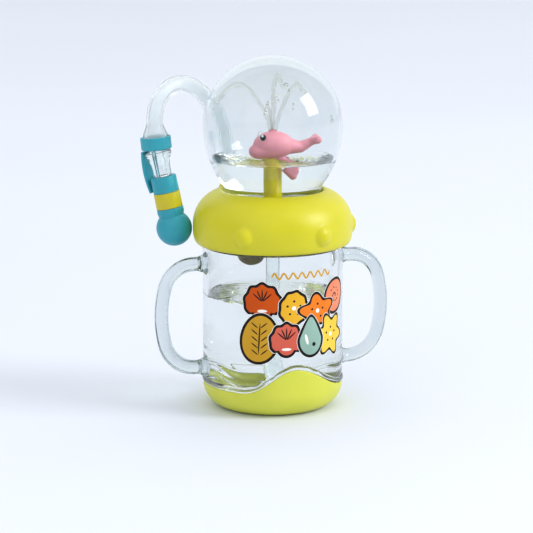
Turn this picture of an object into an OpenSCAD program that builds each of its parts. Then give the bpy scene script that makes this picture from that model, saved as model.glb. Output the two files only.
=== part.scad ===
// Toddler straw cup: a clear two-handled cup with a screw lid, and on the lid a clear dome
// in which a small whale spouts the drink before it runs out to the straw.
// Origin: centre of the boot's flat underside. +Z is up, the handles point along +X and -X,
// and the printed side faces -Y. Sizes are in millimetres.

/* [Cup] */
// Outside radius of the cup wall
cup_r = 37.5; // [37:0.1:37.8]
// Thickness of the cup wall
cup_wall = 2.7; // [2.4:0.1:3]
// Height of the cup's shoulder, where the neck starts
shoulder_z = 88.5; // [88:0.1:88.6]
// Height of the cup's mouth
mouth_z = 103.7; // [103:0.1:103.7]
// Outside radius of the threaded neck
neck_r = 34; // [33.8:0.1:34.1]

/* [Boot] */
// Height of the boot's level edge
boot_z = 13.5; // [13:0.5:16]
// Height of the boot's wave at the front
wave_z = 26.5; // [20:0.5:30]
// Width of the wave to the left of its crest
wave_w = 27; // [20:0.5:30]
// Width of the wave to the right of its crest
wave_right_w = 34; // [24:0.5:34]
// Thickness of the boot's side
boot_wall = 1.3; // [1:0.1:1.4]
// Radius of the boot's lower edge
boot_round = 13; // [11:0.5:13]

/* [Handles] */
// Thickness of a handle's bar
handle_d = 7.2; // [6:0.1:8]
// Height of a handle's upper root
handle_top_z = 79.3; // [78:0.1:80]
// Height of a handle's lower root
handle_low_z = 22.8; // [22.4:0.1:23.2]

/* [Lid] */
// Largest radius of the lid's collar
collar_r = 42.6; // [42:0.1:42.7]
// Height of the collar's lower edge
collar_low_z = 88; // [87.6:0.1:88.4]
// Height of the collar's upper rim
collar_top_z = 118; // [117:0.2:119]
// Height at which the collar is widest
collar_wide_z = 99; // [98:0.2:100]
// Radius of the round studs on the collar
stud_r = 6.5; // [6:0.1:6.8]
// Rise of the lid in one full turn
thread_lead = 24; // [23:0.5:25]

/* [Dome] */
// Outside radius of the dome
dome_r = 37; // [36:0.1:37.2]
// Height of the dome's widest level
dome_z = 151.7; // [151:0.1:152.2]
// Thickness of the dome's wall
dome_wall = 1.6; // [1.4:0.1:1.8]
// Outside radius of the dome's neck
dome_neck_r = 26.3; // [26:0.1:26.4]

/* [Straw] */
// Outside radius of the straw
straw_r = 4.4; // [4.2:0.1:4.4]
// Turn of the straw's plane from the handles' plane
straw_turn = 19; // [15:1:22]
// Lean of the straw's drinking end
ring_tilt = 6; // [5:0.5:7]
// Lean of the mouthpiece and its cap
cap_tilt = 11.5; // [11:0.1:11.8]
// Radius of the ball on the cap
ball_r = 9.55; // [9:0.05:9.6]

/* [Hidden] */
$fn = 96;

// Clearances
seat = 0.1;         // between pieces that sit still against each other
free = 0.3;         // between pieces that move past each other
through = 1;        // how far a cutter runs past a face

// Cup
boot_floor = 3;
plug_r = cup_r - boot_wall - seat;      // cup wall inside the boot
plug_round = 10;
plug_z = boot_floor + seat;
floor_z = 5.8;
hollow_round = 9;
mouth_r = neck_r - 2.7;

// Screw thread: four short ribs on the neck and four in the lid, tilted to the helix
starts = 4;
rib_span = 60;
rib_h = 2.2;
rib_depth = 1.6;
rib_z = 96;
rib_gap = free + rib_h;                 // a lid rib hangs this far under a neck rib
skirt_in_r = neck_r + rib_depth + 0.6;
skirt_out_r = 38;
helix_tilt = atan(thread_lead / (2 * PI * neck_r));

// Lid
deck_low_z = 105;
deck_z = 109.5;
skirt_low_z = 89;
deck_r = 36.5;
well_r = dome_neck_r + 0.5;
stud_z = 97.5;
stud_proud = 2.6;
stud_count = 5;                         // the sixth place is left free for the cap's ball
stud_first = -130.5;
crown_r = 24;                           // where the collar's upper curve would meet the top
channel_z = 107.2;
drain_r = 20;

// Dome
dome_low_z = 110.8;
dome_drop = 46;                         // height of the lower half's longer curve

// Fountain
post_r = 3.65;
post_bore_r = 1.7;
post_top_z = 136;
whale_turn = -11;

// Tube down into the cup
dip_r = 3.6;
dip_bore_r = 2.5;
dip_low_z = 8;
grommet_r = 6;
grommet_z = 97;

// Vent under the lid
vent_at = [-13, -3];
vent_ball_r = 7.9;
vent_ball_z = 84.4;
vent_neck_r = 4.6;

// Straw and cap, in the straw's own plane
socket_at = [-22.5, 27.5];
ring_at = [-61.8, 0, 141.5];
socket_angle = atan2(socket_at.y, socket_at.x) - straw_turn;
straw_bore_r = 3.2;
straw_end_r = 7;
straw_end_bore_r = 5;
ring_r = 8.15;
ring_h = 6.7;
spout_r = 4;
spout_tip = 27.5;
sleeve_r = 6.85;
sleeve_start = 17.8;
band_start = 26.3;
band_end = 34.9;
ball_at = 46.3;

// Centre line of the straw, from the socket over the arch to the drinking end
straw_route = [
    [-22.5, 27.5, 111], [-22.5, 27.5, 114.5], [-22.5, 27.5, 118.5], [-24, 29.5, 128],
    [-27, 31.5, 140], [-30, 31.5, 151], [-35, 27, 162], [-42, 20, 170], [-50, 12, 173],
    [-57, 4.5, 170], [-61.5, 0.5, 162.5], [-62.5, 0, 156], [-62.4, 0, 150],
    [-62, 0, 144.5], [-61.5, 0, 138.5]
];

// Points along an arc or ellipse
function arc(c, r, from, to, n = 12) =
    [for (i = [0:n]) let (a = from + (to - from) * i / n) [c.x + r.x * cos(a), c.y + r.y * sin(a)]];

// Points along a rounder corner than an ellipse's, from straight down to sideways
function squarish(c, r, n = 12, power = 3) =
    [for (i = [0:n]) let (a = -90 + 90 * i / n)
        [c.x + r.x * pow(cos(a), 2 / power), c.y - r.y * pow(-sin(a), 2 / power)]];

// Smooth curve through a list of points
function curve_point(p, i, t) =
    let (a = p[max(i - 1, 0)], b = p[i], c = p[i + 1], d = p[min(i + 2, len(p) - 1)])
    0.5 * ((2 * b) + (c - a) * t + (2 * a - 5 * b + 4 * c - d) * t * t
        + (3 * b - a - 3 * c + d) * t * t * t);
function curve(p, steps) =
    concat([for (i = [0:len(p) - 2]) for (s = [0:steps - 1]) curve_point(p, i, s / steps)],
        [p[len(p) - 1]]);
function unit(v) = v / norm(v);

// Frames
module straw_frame() rotate([0, 0, -straw_turn]) children();
module along_end(tilt) straw_frame() translate(ring_at) rotate([0, 180 - tilt, 0]) children();
module at_socket() straw_frame() translate([socket_at.x, socket_at.y, 0]) children();

module tube(r, bore, z0, z1) {
    translate([0, 0, z0]) difference() {
        cylinder(r = r, h = z1 - z0);
        translate([0, 0, -through]) cylinder(r = bore, h = z1 - z0 + 2 * through);
    }
}

module cup_plug(grow) {
    rotate_extrude() polygon(concat([[0, plug_z - grow]],
        arc([plug_r - plug_round, plug_z + plug_round],
            [plug_round + grow, plug_round + grow], -90, 0),
        [[plug_r + grow, wave_z + 4], [0, wave_z + 4]]));
}

// Everything below the boot's upper edge, with its wave at the front
module boot_zone(grow) {
    far = cup_r + 5;
    cylinder(r = far, h = boot_z + grow);
    rotate([90, 0, 0]) linear_extrude(far) polygon(concat([[-wave_w, 0]],
        [for (i = [-16:16])
            [i * (i < 0 ? wave_w : wave_right_w) / 16,
             boot_z + grow + (wave_z - boot_z) * (1 + cos(180 * i / 16)) / 2]],
        [[wave_right_w, 0]]));
}

module rib(r0, r1, z) {
    for (i = [0:starts - 1])
        rotate([0, 0, 360 * i / starts]) translate([0, 0, z]) rotate([helix_tilt, 0, 0])
            rotate([0, 0, -rib_span / 2]) rotate_extrude(angle = rib_span)
                translate([r0, -rib_h / 2]) square([r1 - r0, rib_h]);
}

module cup_body() {
    color([0.85, 0.92, 0.96]) difference() {
        union() {
            difference() {
                translate([0, 0, plug_z + plug_round]) cylinder(r = cup_r,
                    h = shoulder_z - plug_z - plug_round);
                boot_zone(seat);
            }
            cup_plug(0);
            translate([0, 0, shoulder_z - 10]) cylinder(r = neck_r, h = mouth_z - shoulder_z + 10);
            rib(neck_r - 0.3, neck_r + rib_depth, rib_z);
        }
        rotate_extrude() polygon(concat([[0, floor_z]],
            arc([cup_r - cup_wall - hollow_round, floor_z + hollow_round],
                [hollow_round, hollow_round], -90, 0),
            [[cup_r - cup_wall, shoulder_z - 3], [mouth_r, shoulder_z + 0.4],
                [mouth_r, mouth_z + through], [0, mouth_z + through]]));
    }
}

// A handle's bar is three arcs that run into each other, with a pad at each root.
// Every second stretch is a hair thicker and laps over the ends of its neighbours.
module handle() {
    bend = [16.3, 60, 17.5];
    turn = 15;
    lap = 0.4;
    hair = 0.05;
    top_x = 44.5;
    a = [top_x, handle_top_z - bend[0]];
    b = a - [cos(turn), sin(turn)] * (bend[1] - bend[0]);
    c = b + [cos(turn), -sin(turn)] * (bend[1] - bend[2]);
    low_z = c.y - bend[2];
    module bar(centre, r, from, to, more = 0)
        translate([centre.x, 0, centre.y]) rotate([90, 0, 0]) rotate([0, 0, from - more * lap])
            rotate_extrude(angle = to - from + 2 * more * lap) translate([r, 0])
                circle(d = handle_d + more * hair);
    module root(z, x)
        translate([cup_r - 2, 0, z]) rotate([0, 90, 0]) {
            cylinder(d = handle_d + hair, h = x - cup_r + 2 + lap);
            cylinder(d = handle_d + 4, h = 3.6);
        }
    difference() {
        union() {
            bar(a, bend[0], turn, 90);
            bar(b, bend[1], -turn, turn, 1);
            bar(c, bend[2], -90, -turn);
            root(handle_top_z, top_x);
            root(low_z, c.x);
        }
        cylinder(r = cup_r + 0.02, h = collar_low_z, $fn = 128);
    }
}

module handle_right() { color([0.85, 0.92, 0.96]) handle(); }
module handle_left() { color([0.85, 0.92, 0.96]) rotate([0, 0, 180]) handle(); }

module base_boot() {
    color([0.86, 0.86, 0.33]) difference() {
        intersection() {
            rotate_extrude() polygon(concat([[0, 0]],
                arc([cup_r - boot_round, boot_round], [boot_round, boot_round], -90, 0),
                [[cup_r, wave_z + 2], [0, wave_z + 2]]));
            boot_zone(0);
        }
        cup_plug(seat);
    }
}

module lid_gasket() { color([0.93, 0.93, 0.9]) tube(neck_r + 0.4, mouth_r - 0.3, 104, 104.85); }

// The collar's outline: a squarish lower corner and an elliptical shoulder
module collar_outline() {
    low = collar_wide_z - collar_low_z;
    polygon(concat([[well_r, collar_low_z]],
        squarish([34, collar_wide_z], [collar_r - 34, low]),
        arc([crown_r, collar_wide_z], [collar_r - crown_r, collar_top_z - collar_wide_z],
            5, acos((well_r + 0.6 - crown_r) / (collar_r - crown_r)), 20),
        [[well_r, collar_top_z - 0.7]]));
}

module lid_collar() {
    color([0.85, 0.82, 0.19]) difference() {
        union() {
            rotate_extrude($fn = 128) collar_outline();
            for (i = [0:stud_count - 1])
                rotate([0, 0, stud_first + 60 * i])
                    translate([collar_r + stud_proud - stud_r, 0, stud_z]) sphere(r = stud_r);
            at_socket() translate([0, 0, deck_z + seat]) cylinder(r = 6.6, h = 6);
        }
        translate([0, 0, collar_low_z - through])
            cylinder(r = skirt_out_r + seat, h = channel_z - collar_low_z + through);
        cylinder(r = deck_r + seat, h = deck_z + seat);
        cylinder(r = well_r, h = collar_top_z + through);
        at_socket() translate([0, 0, deck_z]) cylinder(r = straw_r + free, h = 12);
    }
}

module lid_core() {
    color([0.82, 0.8, 0.22]) difference() {
        union() {
            tube(skirt_out_r, skirt_in_r, skirt_low_z, deck_low_z);
            translate([0, 0, deck_low_z]) cylinder(r = skirt_out_r, h = channel_z - deck_low_z - seat);
            translate([0, 0, deck_low_z]) cylinder(r = deck_r, h = deck_z - deck_low_z);
            rib(neck_r + 0.5, skirt_in_r + 0.3, rib_z - rib_gap);
            tube(grommet_r + seat + 1.5, grommet_r + seat, grommet_z, deck_low_z + seat);
        }
        // Water way up to the post
        translate([0, 0, deck_low_z - through]) cylinder(r = post_bore_r, h = 8);
        // Drain from the pool across to the straw's socket
        rotate([0, 0, socket_angle]) {
            translate([drain_r, 0, channel_z]) cylinder(r = 2, h = 4);
            translate([drain_r, 0, channel_z]) rotate([0, 90, 0])
                cylinder(r = 1.4, h = norm(socket_at) - drain_r);
        }
        at_socket() translate([0, 0, channel_z]) cylinder(r = 2, h = 4);
        // Air way from the vent out under the collar
        translate([vent_at.x, vent_at.y, deck_low_z - through]) cylinder(r = 1.6, h = 3);
        translate([vent_at.x, vent_at.y, channel_z - 0.8]) rotate([0, -90, 0])
            cylinder(r = 0.9, h = skirt_out_r);
    }
}

module straw_connector() {
    color([0.9, 0.93, 0.95]) at_socket() difference() {
        translate([0, 0, deck_z]) rotate_extrude() polygon([[0, 0], [4, 0], [4, 1.2], [2.8, 1.2],
            [2.8, 3.4], [3, 4.2], [2.8, 5], [2.8, 6.2], [3, 7], [2.5, 8.4], [0, 8.4]]);
        translate([0, 0, deck_z - through]) cylinder(r = 1.8, h = 12);
    }
}

module dome_seal() { color([0.93, 0.93, 0.9]) tube(dome_neck_r + 0.3, dome_neck_r - 1.9, deck_z, deck_z + 1); }

module fountain_post() {
    color([0.8, 0.76, 0.12]) difference() {
        union() {
            translate([0, 0, deck_z]) cylinder(r = post_r, h = post_top_z - deck_z);
            translate([0, 0, deck_z]) cylinder(r1 = 8, r2 = 7, h = 1.8);
        }
        translate([0, 0, deck_z - through]) cylinder(r = post_bore_r, h = post_top_z);
    }
}

module ball(at, size) translate(at) scale(size) sphere(r = 1, $fn = 20);

module whale_body() {
    color([0.91, 0.6, 0.66]) difference() {
        rotate([0, 0, whale_turn]) {
            ball([0.5, 0, 141], [11, 8.2, 7.6]);
            hull() {
                ball([-7.4, 0, 137.9], [5.2, 6.2, 4.2]);
                ball([-1, 0, 139], [7, 7.6, 5.6]);
            }
            hull() {
                ball([6, 0, 140], [5, 6.2, 5.6]);
                ball([14.5, 0, 139.2], [3.4, 3.4, 3.2]);
            }
            hull() {
                ball([14.5, 0, 139.2], [3.4, 3.4, 3.2]);
                ball([20.4, 0, 143.6], [1.8, 2.2, 1.8]);
            }
            for (side = [-1, 1]) {
                hull() {
                    ball([20.4, 0, 143.6], [1.8, 2, 1.6]);
                    ball([22.6, side * 4.6, 145.4], [1.5, 1.5, 1]);
                }
                hull() {
                    ball([6, side * 6, 136], [3.4, 1.6, 1.6]);
                    ball([9.5, side * 9.6, 129.5], [1.2, 0.7, 1.2]);
                }
            }
        }
        cylinder(r = post_r + seat, h = post_top_z + seat);
        cylinder(r = 1.9, h = 160);
        rotate([0, 0, whale_turn]) for (side = [-1, 1])
            translate([-5.2, side * 5.6, 144.6]) sphere(r = 2.1);
    }
}

module whale_eyes() {
    color("white") rotate([0, 0, whale_turn]) for (side = [-1, 1])
        translate([-5.2, side * 5.6, 144.6]) sphere(r = 2);
}

module blowhole_nozzle() { color([0.93, 0.8, 0.84]) tube(1.8, 1, post_top_z + 0.2, 149); }

module dip_tube() { color([0.88, 0.92, 0.95]) tube(dip_r, dip_bore_r, dip_low_z, deck_low_z); }

module dip_tube_grommet() {
    color([0.93, 0.93, 0.9]) tube(grommet_r, dip_r + 0.05, grommet_z, deck_low_z);
}

module vent_housing() {
    color([0.37, 0.34, 0.25]) translate([vent_at.x, vent_at.y, 0]) difference() {
        union() {
            translate([0, 0, vent_ball_z]) sphere(r = vent_ball_r);
            translate([0, 0, vent_ball_z]) cylinder(r = vent_neck_r, h = deck_low_z - vent_ball_z);
        }
        translate([0, 0, vent_ball_z]) sphere(r = vent_ball_r - 1.5);
        translate([0, 0, vent_ball_z]) cylinder(r = vent_neck_r - 1.4, h = 30);
        translate([0, 0, vent_ball_z - 10]) cylinder(r = 1.5, h = 10);
    }
}

module vent_valve() {
    color([0.93, 0.93, 0.9]) translate([vent_at.x, vent_at.y, 0]) rotate_extrude() polygon(
        [[0, 97], [0.6, 97], [2.9, 101.6], [2.9, 103.4], [1.4, 103.4], [1.4, 105.6], [0, 105.6]]);
}

// The dome's shape at a distance inside its outer face
module dome_profile(inset, neck_r, low_z) {
    top = dome_r - inset;
    drop = dome_drop - inset;
    polygon(concat([[0, low_z], [neck_r, low_z]],
        arc([0, dome_z], [top, drop], -acos(neck_r / top), 0, 20),
        arc([0, dome_z], [top, top], 3, 90, 28)));
}

module dome() {
    color([0.84, 0.9, 0.94]) rotate_extrude($fn = 128) difference() {
        dome_profile(0, dome_neck_r, dome_low_z);
        dome_profile(dome_wall, dome_neck_r - 1.3, dome_low_z - through);
    }
}

// Radii along the straw: straight until its end opens out for the mouthpiece
function straw_open(p) = p.x > -58 || p.z > 152 ? 0 : min(1, (152 - p.z) / 8);
function eased(t) = t * t * (3 - 2 * t);

module straw_tube() {
    sides = 20;
    steps = 4;
    route = curve(straw_route, steps);
    last = len(route) - 1;
    across = unit([-socket_at.y - 4, socket_at.x * -1 + 10, 0]);
    function ring(i, r, bore) = let (
        p = route[i],
        t = unit(route[min(i + 1, last)] - route[max(i - 1, 0)]),
        u = unit(across - (across * t) * t),
        v = cross(t, u),
        k = eased(straw_open(p)),
        radius = bore ? straw_bore_r + (straw_end_bore_r - straw_bore_r) * k
            : straw_r + (straw_end_r - straw_r) * k)
        [for (s = [0:sides - 1]) let (a = 360 * s / sides) p + radius * (cos(a) * u + sin(a) * v)];
    outside = [for (i = [0:last]) each ring(i, 0, false)];
    inside = [for (i = [0:last]) each ring(i, 0, true)];
    n = len(outside);
    function at(i, s) = i * sides + s % sides;
    color([0.88, 0.92, 0.94]) straw_frame() polyhedron(
        points = concat(outside, inside),
        faces = concat(
            [for (i = [0:last - 1]) for (s = [0:sides - 1])
                [at(i, s), at(i, s + 1), at(i + 1, s + 1), at(i + 1, s)]],
            [for (i = [0:last - 1]) for (s = [0:sides - 1])
                [n + at(i, s), n + at(i + 1, s), n + at(i + 1, s + 1), n + at(i, s + 1)]],
            [for (s = [0:sides - 1]) [at(0, s + 1), at(0, s), n + at(0, s), n + at(0, s + 1)]],
            [for (s = [0:sides - 1])
                [at(last, s), at(last, s + 1), n + at(last, s + 1), n + at(last, s)]]));
}

module mouthpiece() {
    color([0.86, 0.92, 0.95]) along_end(cap_tilt) difference() {
        rotate_extrude() polygon([[0, -2.5], [4.3, -2.5], [4.3, 4.4], [7.2, 4.4], [7.2, 5.4],
            [6.2, 8], [4.9, 11], [4.2, 14], [spout_r, 17], [spout_r, spout_tip - 1.5],
            [spout_r - 1, spout_tip], [0, spout_tip]]);
        translate([0, 0, -3]) cylinder(r = 2.3, h = spout_tip + 4);
    }
}

module cap_ring() {
    color([0.2, 0.63, 0.69]) along_end(ring_tilt)
        tube(ring_r, straw_end_r + seat, -ring_h / 2, ring_h / 2);
}

// A flat strap that bows out from the ring down to the cap's sleeve
module cap_strap() {
    bend = 44;
    reach = 14.75;
    middle = 14.6;
    bulge = 9.2;
    color([0.15, 0.52, 0.58]) along_end(cap_tilt) rotate([0, 0, 35])
        translate([bulge - bend, 0, middle]) rotate([90, 0, 0]) rotate([0, 0, -reach])
            rotate_extrude(angle = 2 * reach) translate([bend, 0]) square([1.4, 8], center = true);
}

module cap_body() {
    color([0.2, 0.63, 0.69]) along_end(cap_tilt) difference() {
        union() {
            rotate_extrude() polygon([[0, sleeve_start], [sleeve_r - 0.6, sleeve_start],
                [sleeve_r, sleeve_start + 0.6], [sleeve_r, band_start], [6.2, band_start],
                [6.2, band_end], [7, band_end], [7.3, band_end + 4], [0, ball_at]]);
            translate([0, 0, ball_at]) sphere(r = ball_r);
        }
        translate([0, 0, sleeve_start - through]) cylinder(r = spout_r + free, h = 13);
    }
}

module cap_band() {
    color([0.84, 0.79, 0.16]) along_end(cap_tilt)
        tube(6.95, 6.2 + seat, band_start + seat, band_end - seat);
}

cup_body();
handle_left();
handle_right();
base_boot();
lid_gasket();
lid_collar();
lid_core();
straw_connector();
dome_seal();
fountain_post();
whale_body();
whale_eyes();
blowhole_nozzle();
dip_tube();
dip_tube_grommet();
vent_housing();
vent_valve();
dome();
straw_tube();
mouthpiece();
cap_ring();
cap_strap();
cap_body();
cap_band();
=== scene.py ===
"""Toddler straw cup with a whale fountain in its dome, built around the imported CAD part.

Lengths below are in millimetres, and mesh_piece turns them into metres. The frame is the part's
own: origin under the boot, +Z up, handles along X, printed side towards -Y.
"""
from collections import defaultdict
from itertools import accumulate
from math import acos, atan2, cos, degrees, exp, pi, radians, sin, sqrt, tan

import bmesh
import bpy
from mathutils import Matrix, Vector


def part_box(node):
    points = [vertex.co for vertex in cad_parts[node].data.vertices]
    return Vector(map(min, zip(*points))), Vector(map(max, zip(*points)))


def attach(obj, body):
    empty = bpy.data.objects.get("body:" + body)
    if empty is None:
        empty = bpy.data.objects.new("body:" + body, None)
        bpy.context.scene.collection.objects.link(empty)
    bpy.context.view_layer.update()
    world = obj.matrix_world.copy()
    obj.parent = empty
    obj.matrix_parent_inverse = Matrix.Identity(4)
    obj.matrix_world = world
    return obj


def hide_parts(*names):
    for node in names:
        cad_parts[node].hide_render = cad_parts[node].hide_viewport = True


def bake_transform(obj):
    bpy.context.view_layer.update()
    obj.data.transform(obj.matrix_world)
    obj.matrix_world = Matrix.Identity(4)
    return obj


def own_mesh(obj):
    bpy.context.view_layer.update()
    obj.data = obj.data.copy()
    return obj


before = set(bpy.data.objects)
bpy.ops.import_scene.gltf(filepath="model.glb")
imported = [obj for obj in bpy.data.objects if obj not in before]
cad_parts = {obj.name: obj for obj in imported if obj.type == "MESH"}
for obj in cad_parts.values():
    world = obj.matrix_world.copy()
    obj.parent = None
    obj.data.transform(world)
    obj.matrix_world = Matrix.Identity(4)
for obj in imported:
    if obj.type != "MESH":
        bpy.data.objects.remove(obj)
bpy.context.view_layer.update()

MM = 0.001


def low(node):
    """Lowest Z of a CAD node, in millimetres."""
    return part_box(node)[0].z / MM


def top(node):
    """Highest Z of a CAD node, in millimetres."""
    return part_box(node)[1].z / MM


# Sizes read from the frame
CUP_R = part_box("cup_body")[1].y / MM
MOUTH_Z = top("cup_body")
BOOT_TOP = top("base_boot")
COLLAR_LOW = low("lid_collar")
COLLAR_TOP = top("lid_collar")
DOME_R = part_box("dome")[1].x / MM
DOME_LOW = low("dome")
DOME_Z = top("dome") - DOME_R
POST_R = 3.65
DECK_Z = low("fountain_post")
POST_TOP = top("fountain_post")

# Sizes that the frame's boxes don't give
WALL = 2.7
FLOOR_Z = 5.8
HOLLOW_ROUND = 9
UNEVEN_Z = 30       # the hollow's wall is a little uneven up to here
SHOULDER_Z = 88.5
NECK_R = 34
THREAD_LEAD = 24
PLUG_R = 36.1       # the cup's foot, which fills the boot
PLUG_Z = 3.1
PLUG_ROUND = 10
PLUG_SIDE_Z = PLUG_Z + PLUG_ROUND - 0.2
BOOT_LEVEL = 13.5
BOOT_ROUND = 13
WAVE_W = 27
WAVE_RIGHT_W = 34
WAVE_BEVEL = 3.4
HANDLE_R = 3.35
DOME_DROP = 46      # height of the half ellipse under the dome's widest place
DOME_NECK_R = 26.3
DOME_WALL = 1.6
DOME_IN_R = DOME_R - DOME_WALL
DOME_IN_DROP = DOME_DROP - DOME_WALL
DOME_NECK_IN_R = DOME_NECK_R - 1.3
COLLAR_R = 42.6
COLLAR_WIDE_Z = 99
WELL_R = 26.8
STUD_R = 6.5
STUD_PROUD = 2.6
STUD_Z = 97.5
STUD_ANGLES = [-130.5 + 60 * k for k in range(5)]
TUBE_R = 3.6
TUBE_BORE_R = 3
TUBE_LOW = 8
TUBE_TOP = 105
WHALE_TURN = -11
STRAW_TURN = 19
CAP_TILT = 11.5
RING_TILT = 6
RING_AT = (-61.8, 0, 141.5)
SOCKET_AT = (-22.5, 27.5)
POOL_Z = 133.6
WATER_Z = 60.9
OVERLAP = 0.12      # how far water reaches into a clear wall, so that light bends once there
INK = 0.005         # thickness of one layer of ink
LAYER = 0.013       # and the step from one layer to the next


# ------ shapes


def arc(cx, cz, rx, rz, start, end, steps):
    """Points along an arc or ellipse, from start to end in degrees."""
    angles = [radians(start + (end - start) * i / steps) for i in range(steps + 1)]
    return [(cx + rx * cos(a), cz + rz * sin(a)) for a in angles]


def rounded(corners, steps):
    """Closed outline through (x, z, radius) corners, each rounded to its radius."""
    points = []
    for i, (x, z, radius) in enumerate(corners):
        here = Vector((x, z))
        if radius <= 0:
            points.append((x, z))
            continue
        back = Vector(corners[i - 1][:2]) - here
        ahead = Vector(corners[(i + 1) % len(corners)][:2]) - here
        half = back.angle(ahead) / 2
        trim = min(radius / tan(half), 0.48 * back.length, 0.48 * ahead.length)
        radius = trim * tan(half)
        back.normalize()
        ahead.normalize()
        centre = here + (back + ahead).normalized() * (radius / sin(half))
        first = here + back * trim - centre
        turn = first.angle_signed(here + ahead * trim - centre)
        for k in range(steps + 1):
            points.append(tuple(centre + Matrix.Rotation(-turn * k / steps, 2) @ first))
    return points


def added(name, data):
    """New object in the scene that holds data."""
    thing = bpy.data.objects.new(name, data)
    bpy.context.scene.collection.objects.link(thing)
    return thing


def shaded(name, mesh, sharp):
    """New smooth object. Edges over sharp degrees stay crisp, unless it is 0."""
    mesh.shade_smooth()
    if sharp:
        mesh.set_sharp_from_angle(angle=radians(sharp))
    return added(name, mesh)


def mesh_piece(name, verts, faces, sharp):
    """New object from vertices in millimetres, with outward normals."""
    mesh = bpy.data.meshes.new(name)
    mesh.from_pydata([Vector(v) * MM for v in verts], [], faces)
    bm = bmesh.new()
    bm.from_mesh(mesh)
    bmesh.ops.recalc_face_normals(bm, faces=bm.faces)
    bm.to_mesh(mesh)
    bm.free()
    return shaded(name, mesh, sharp)


def band(one, two):
    """Faces between two rings of vertex numbers."""
    count = len(one)
    return [[one[k], one[(k + 1) % count], two[(k + 1) % count], two[k]] for k in range(count)]


def revolve(name, outline, columns, sharp=40):
    """Closed solid of revolution. outline is a closed loop of (radius, height), or a function
    of the angle round the axis that gives one."""
    turns = [2 * pi * k / columns for k in range(columns)]
    loops = [outline(a) if callable(outline) else outline for a in turns]
    verts, rings, faces = [], [], []
    for row, (r, z) in enumerate(loops[0]):
        if r < 1e-6:
            rings.append([len(verts)] * columns)
            verts.append((0, 0, z))
            continue
        rings.append([len(verts) + k for k in range(columns)])
        for a, loop in zip(turns, loops):
            r, z = loop[row]
            verts.append((r * cos(a), r * sin(a), z))
    for one, two in zip(rings, rings[1:] + rings[:1]):
        corners = [list(dict.fromkeys(face)) for face in band(one, two)]
        faces += [face for face in corners if len(face) > 2]
    return mesh_piece(name, verts, faces, sharp)


def smooth_curve(points, steps, passes=0):
    """Catmull-Rom curve through 3-D points, evened out by averaging passes between its ends."""
    p = [Vector(q) for q in points]
    found = []
    for i in range(len(p) - 1):
        a, b, c, d = p[max(i - 1, 0)], p[i], p[i + 1], p[min(i + 2, len(p) - 1)]
        for s in range(steps):
            t = s / steps
            found.append(0.5 * (2 * b + (c - a) * t + (2 * a - 5 * b + 4 * c - d) * t * t
                                + (3 * b - a - 3 * c + d) * t ** 3))
    found.append(p[-1])
    for _ in range(passes):
        middle = [(a + 2 * b + c) / 4 for a, b, c in zip(found[1:], found[2:], found[3:])]
        found = found[:2] + middle + found[-2:]
    return found


def carried_frames(route):
    """Tangent and two sideways directions at each point, turned as little as possible."""
    side = None
    for i, p in enumerate(route):
        t = (route[min(i + 1, len(route) - 1)] - route[max(i - 1, 0)]).normalized()
        if side is None:
            side = t.orthogonal()
        side = (side - side.dot(t) * t).normalized()
        yield p, t, side, t.cross(side)


def sweep(name, route, radius, sides, bore=None, sharp=40, power=2):
    """Tube along route. radius, and bore if it is hollow, are functions of the share of the way
    along. A solid tube ends in rounded tips. Its section is round, or squarer if power is over 2."""
    route = [Vector(p) for p in route]
    last = len(route) - 1
    stations = list(carried_frames(route))
    verts, faces = [], []

    def ring(station, r, slide=0):
        p, t, u, v = station
        start = len(verts)
        for s in range(sides):
            a = 2 * pi * s / sides
            far = r * (abs(cos(a)) ** power + abs(sin(a)) ** power) ** (-1 / power)
            verts.append(p + t * slide + (u * cos(a) + v * sin(a)) * far)
        return [start + s for s in range(sides)]

    outer = [ring(st, radius(i / last)) for i, st in enumerate(stations)]
    for one, two in zip(outer, outer[1:]):
        faces += band(one, two)
    if bore:
        inner = [ring(st, bore(i / last)) for i, st in enumerate(stations)]
        for one, two in zip(inner, inner[1:]):
            faces += band(two, one)
        faces += band(inner[0], outer[0]) + band(outer[-1], inner[-1])
        return mesh_piece(name, verts, faces, sharp)
    for station, rim, way in ((stations[0], outer[0], -1), (stations[-1], outer[-1], 1)):
        r = radius(0 if way < 0 else 1)
        for a in (30, 55, 75):
            step = ring(station, r * cos(radians(a)), way * r * sin(radians(a)))
            faces += band(rim, step)
            rim = step
        p, t, _, _ = station
        verts.append(p + t * way * r)
        for s in range(sides):
            faces.append([rim[s], rim[(s + 1) % sides], len(verts) - 1])
    return mesh_piece(name, verts, faces, sharp)


def merged(name, pieces, sharp):
    """One object from several, each a closed shell of its own."""
    mesh = bpy.data.meshes.new(name)
    bm = bmesh.new()
    for piece in pieces:
        bm.from_mesh(piece.data)
        bpy.data.objects.remove(piece)
    bm.to_mesh(mesh)
    bm.free()
    return shaded(name, mesh, sharp)


def applied(piece):
    """piece with its modifiers made part of its mesh."""
    graph = bpy.context.evaluated_depsgraph_get()
    mesh = bpy.data.meshes.new_from_object(piece.evaluated_get(graph))
    piece.modifiers.clear()
    piece.data = mesh
    return piece


def cut(piece, cutter, operation="DIFFERENCE"):
    """Boolean of piece with cutter, which is used up."""
    step = piece.modifiers.new("cut", "BOOLEAN")
    step.object = cutter
    step.operation = operation
    step.solver = "EXACT"
    applied(piece)
    bpy.data.objects.remove(cutter)
    piece.data.shade_smooth()
    piece.data.set_sharp_from_angle(angle=radians(35))
    return piece


def placed(piece, matrix):
    """piece with its mesh moved by matrix, given in millimetres."""
    m = matrix.copy()
    m.translation = m.translation * MM
    piece.data.transform(m)
    return piece


def in_view(u, w, z):
    """Point from its place to the right in the view, away from the viewer and up."""
    a = radians(-STRAW_TURN)
    return Vector((u * cos(a) - w * sin(a), u * sin(a) + w * cos(a), z))


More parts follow.
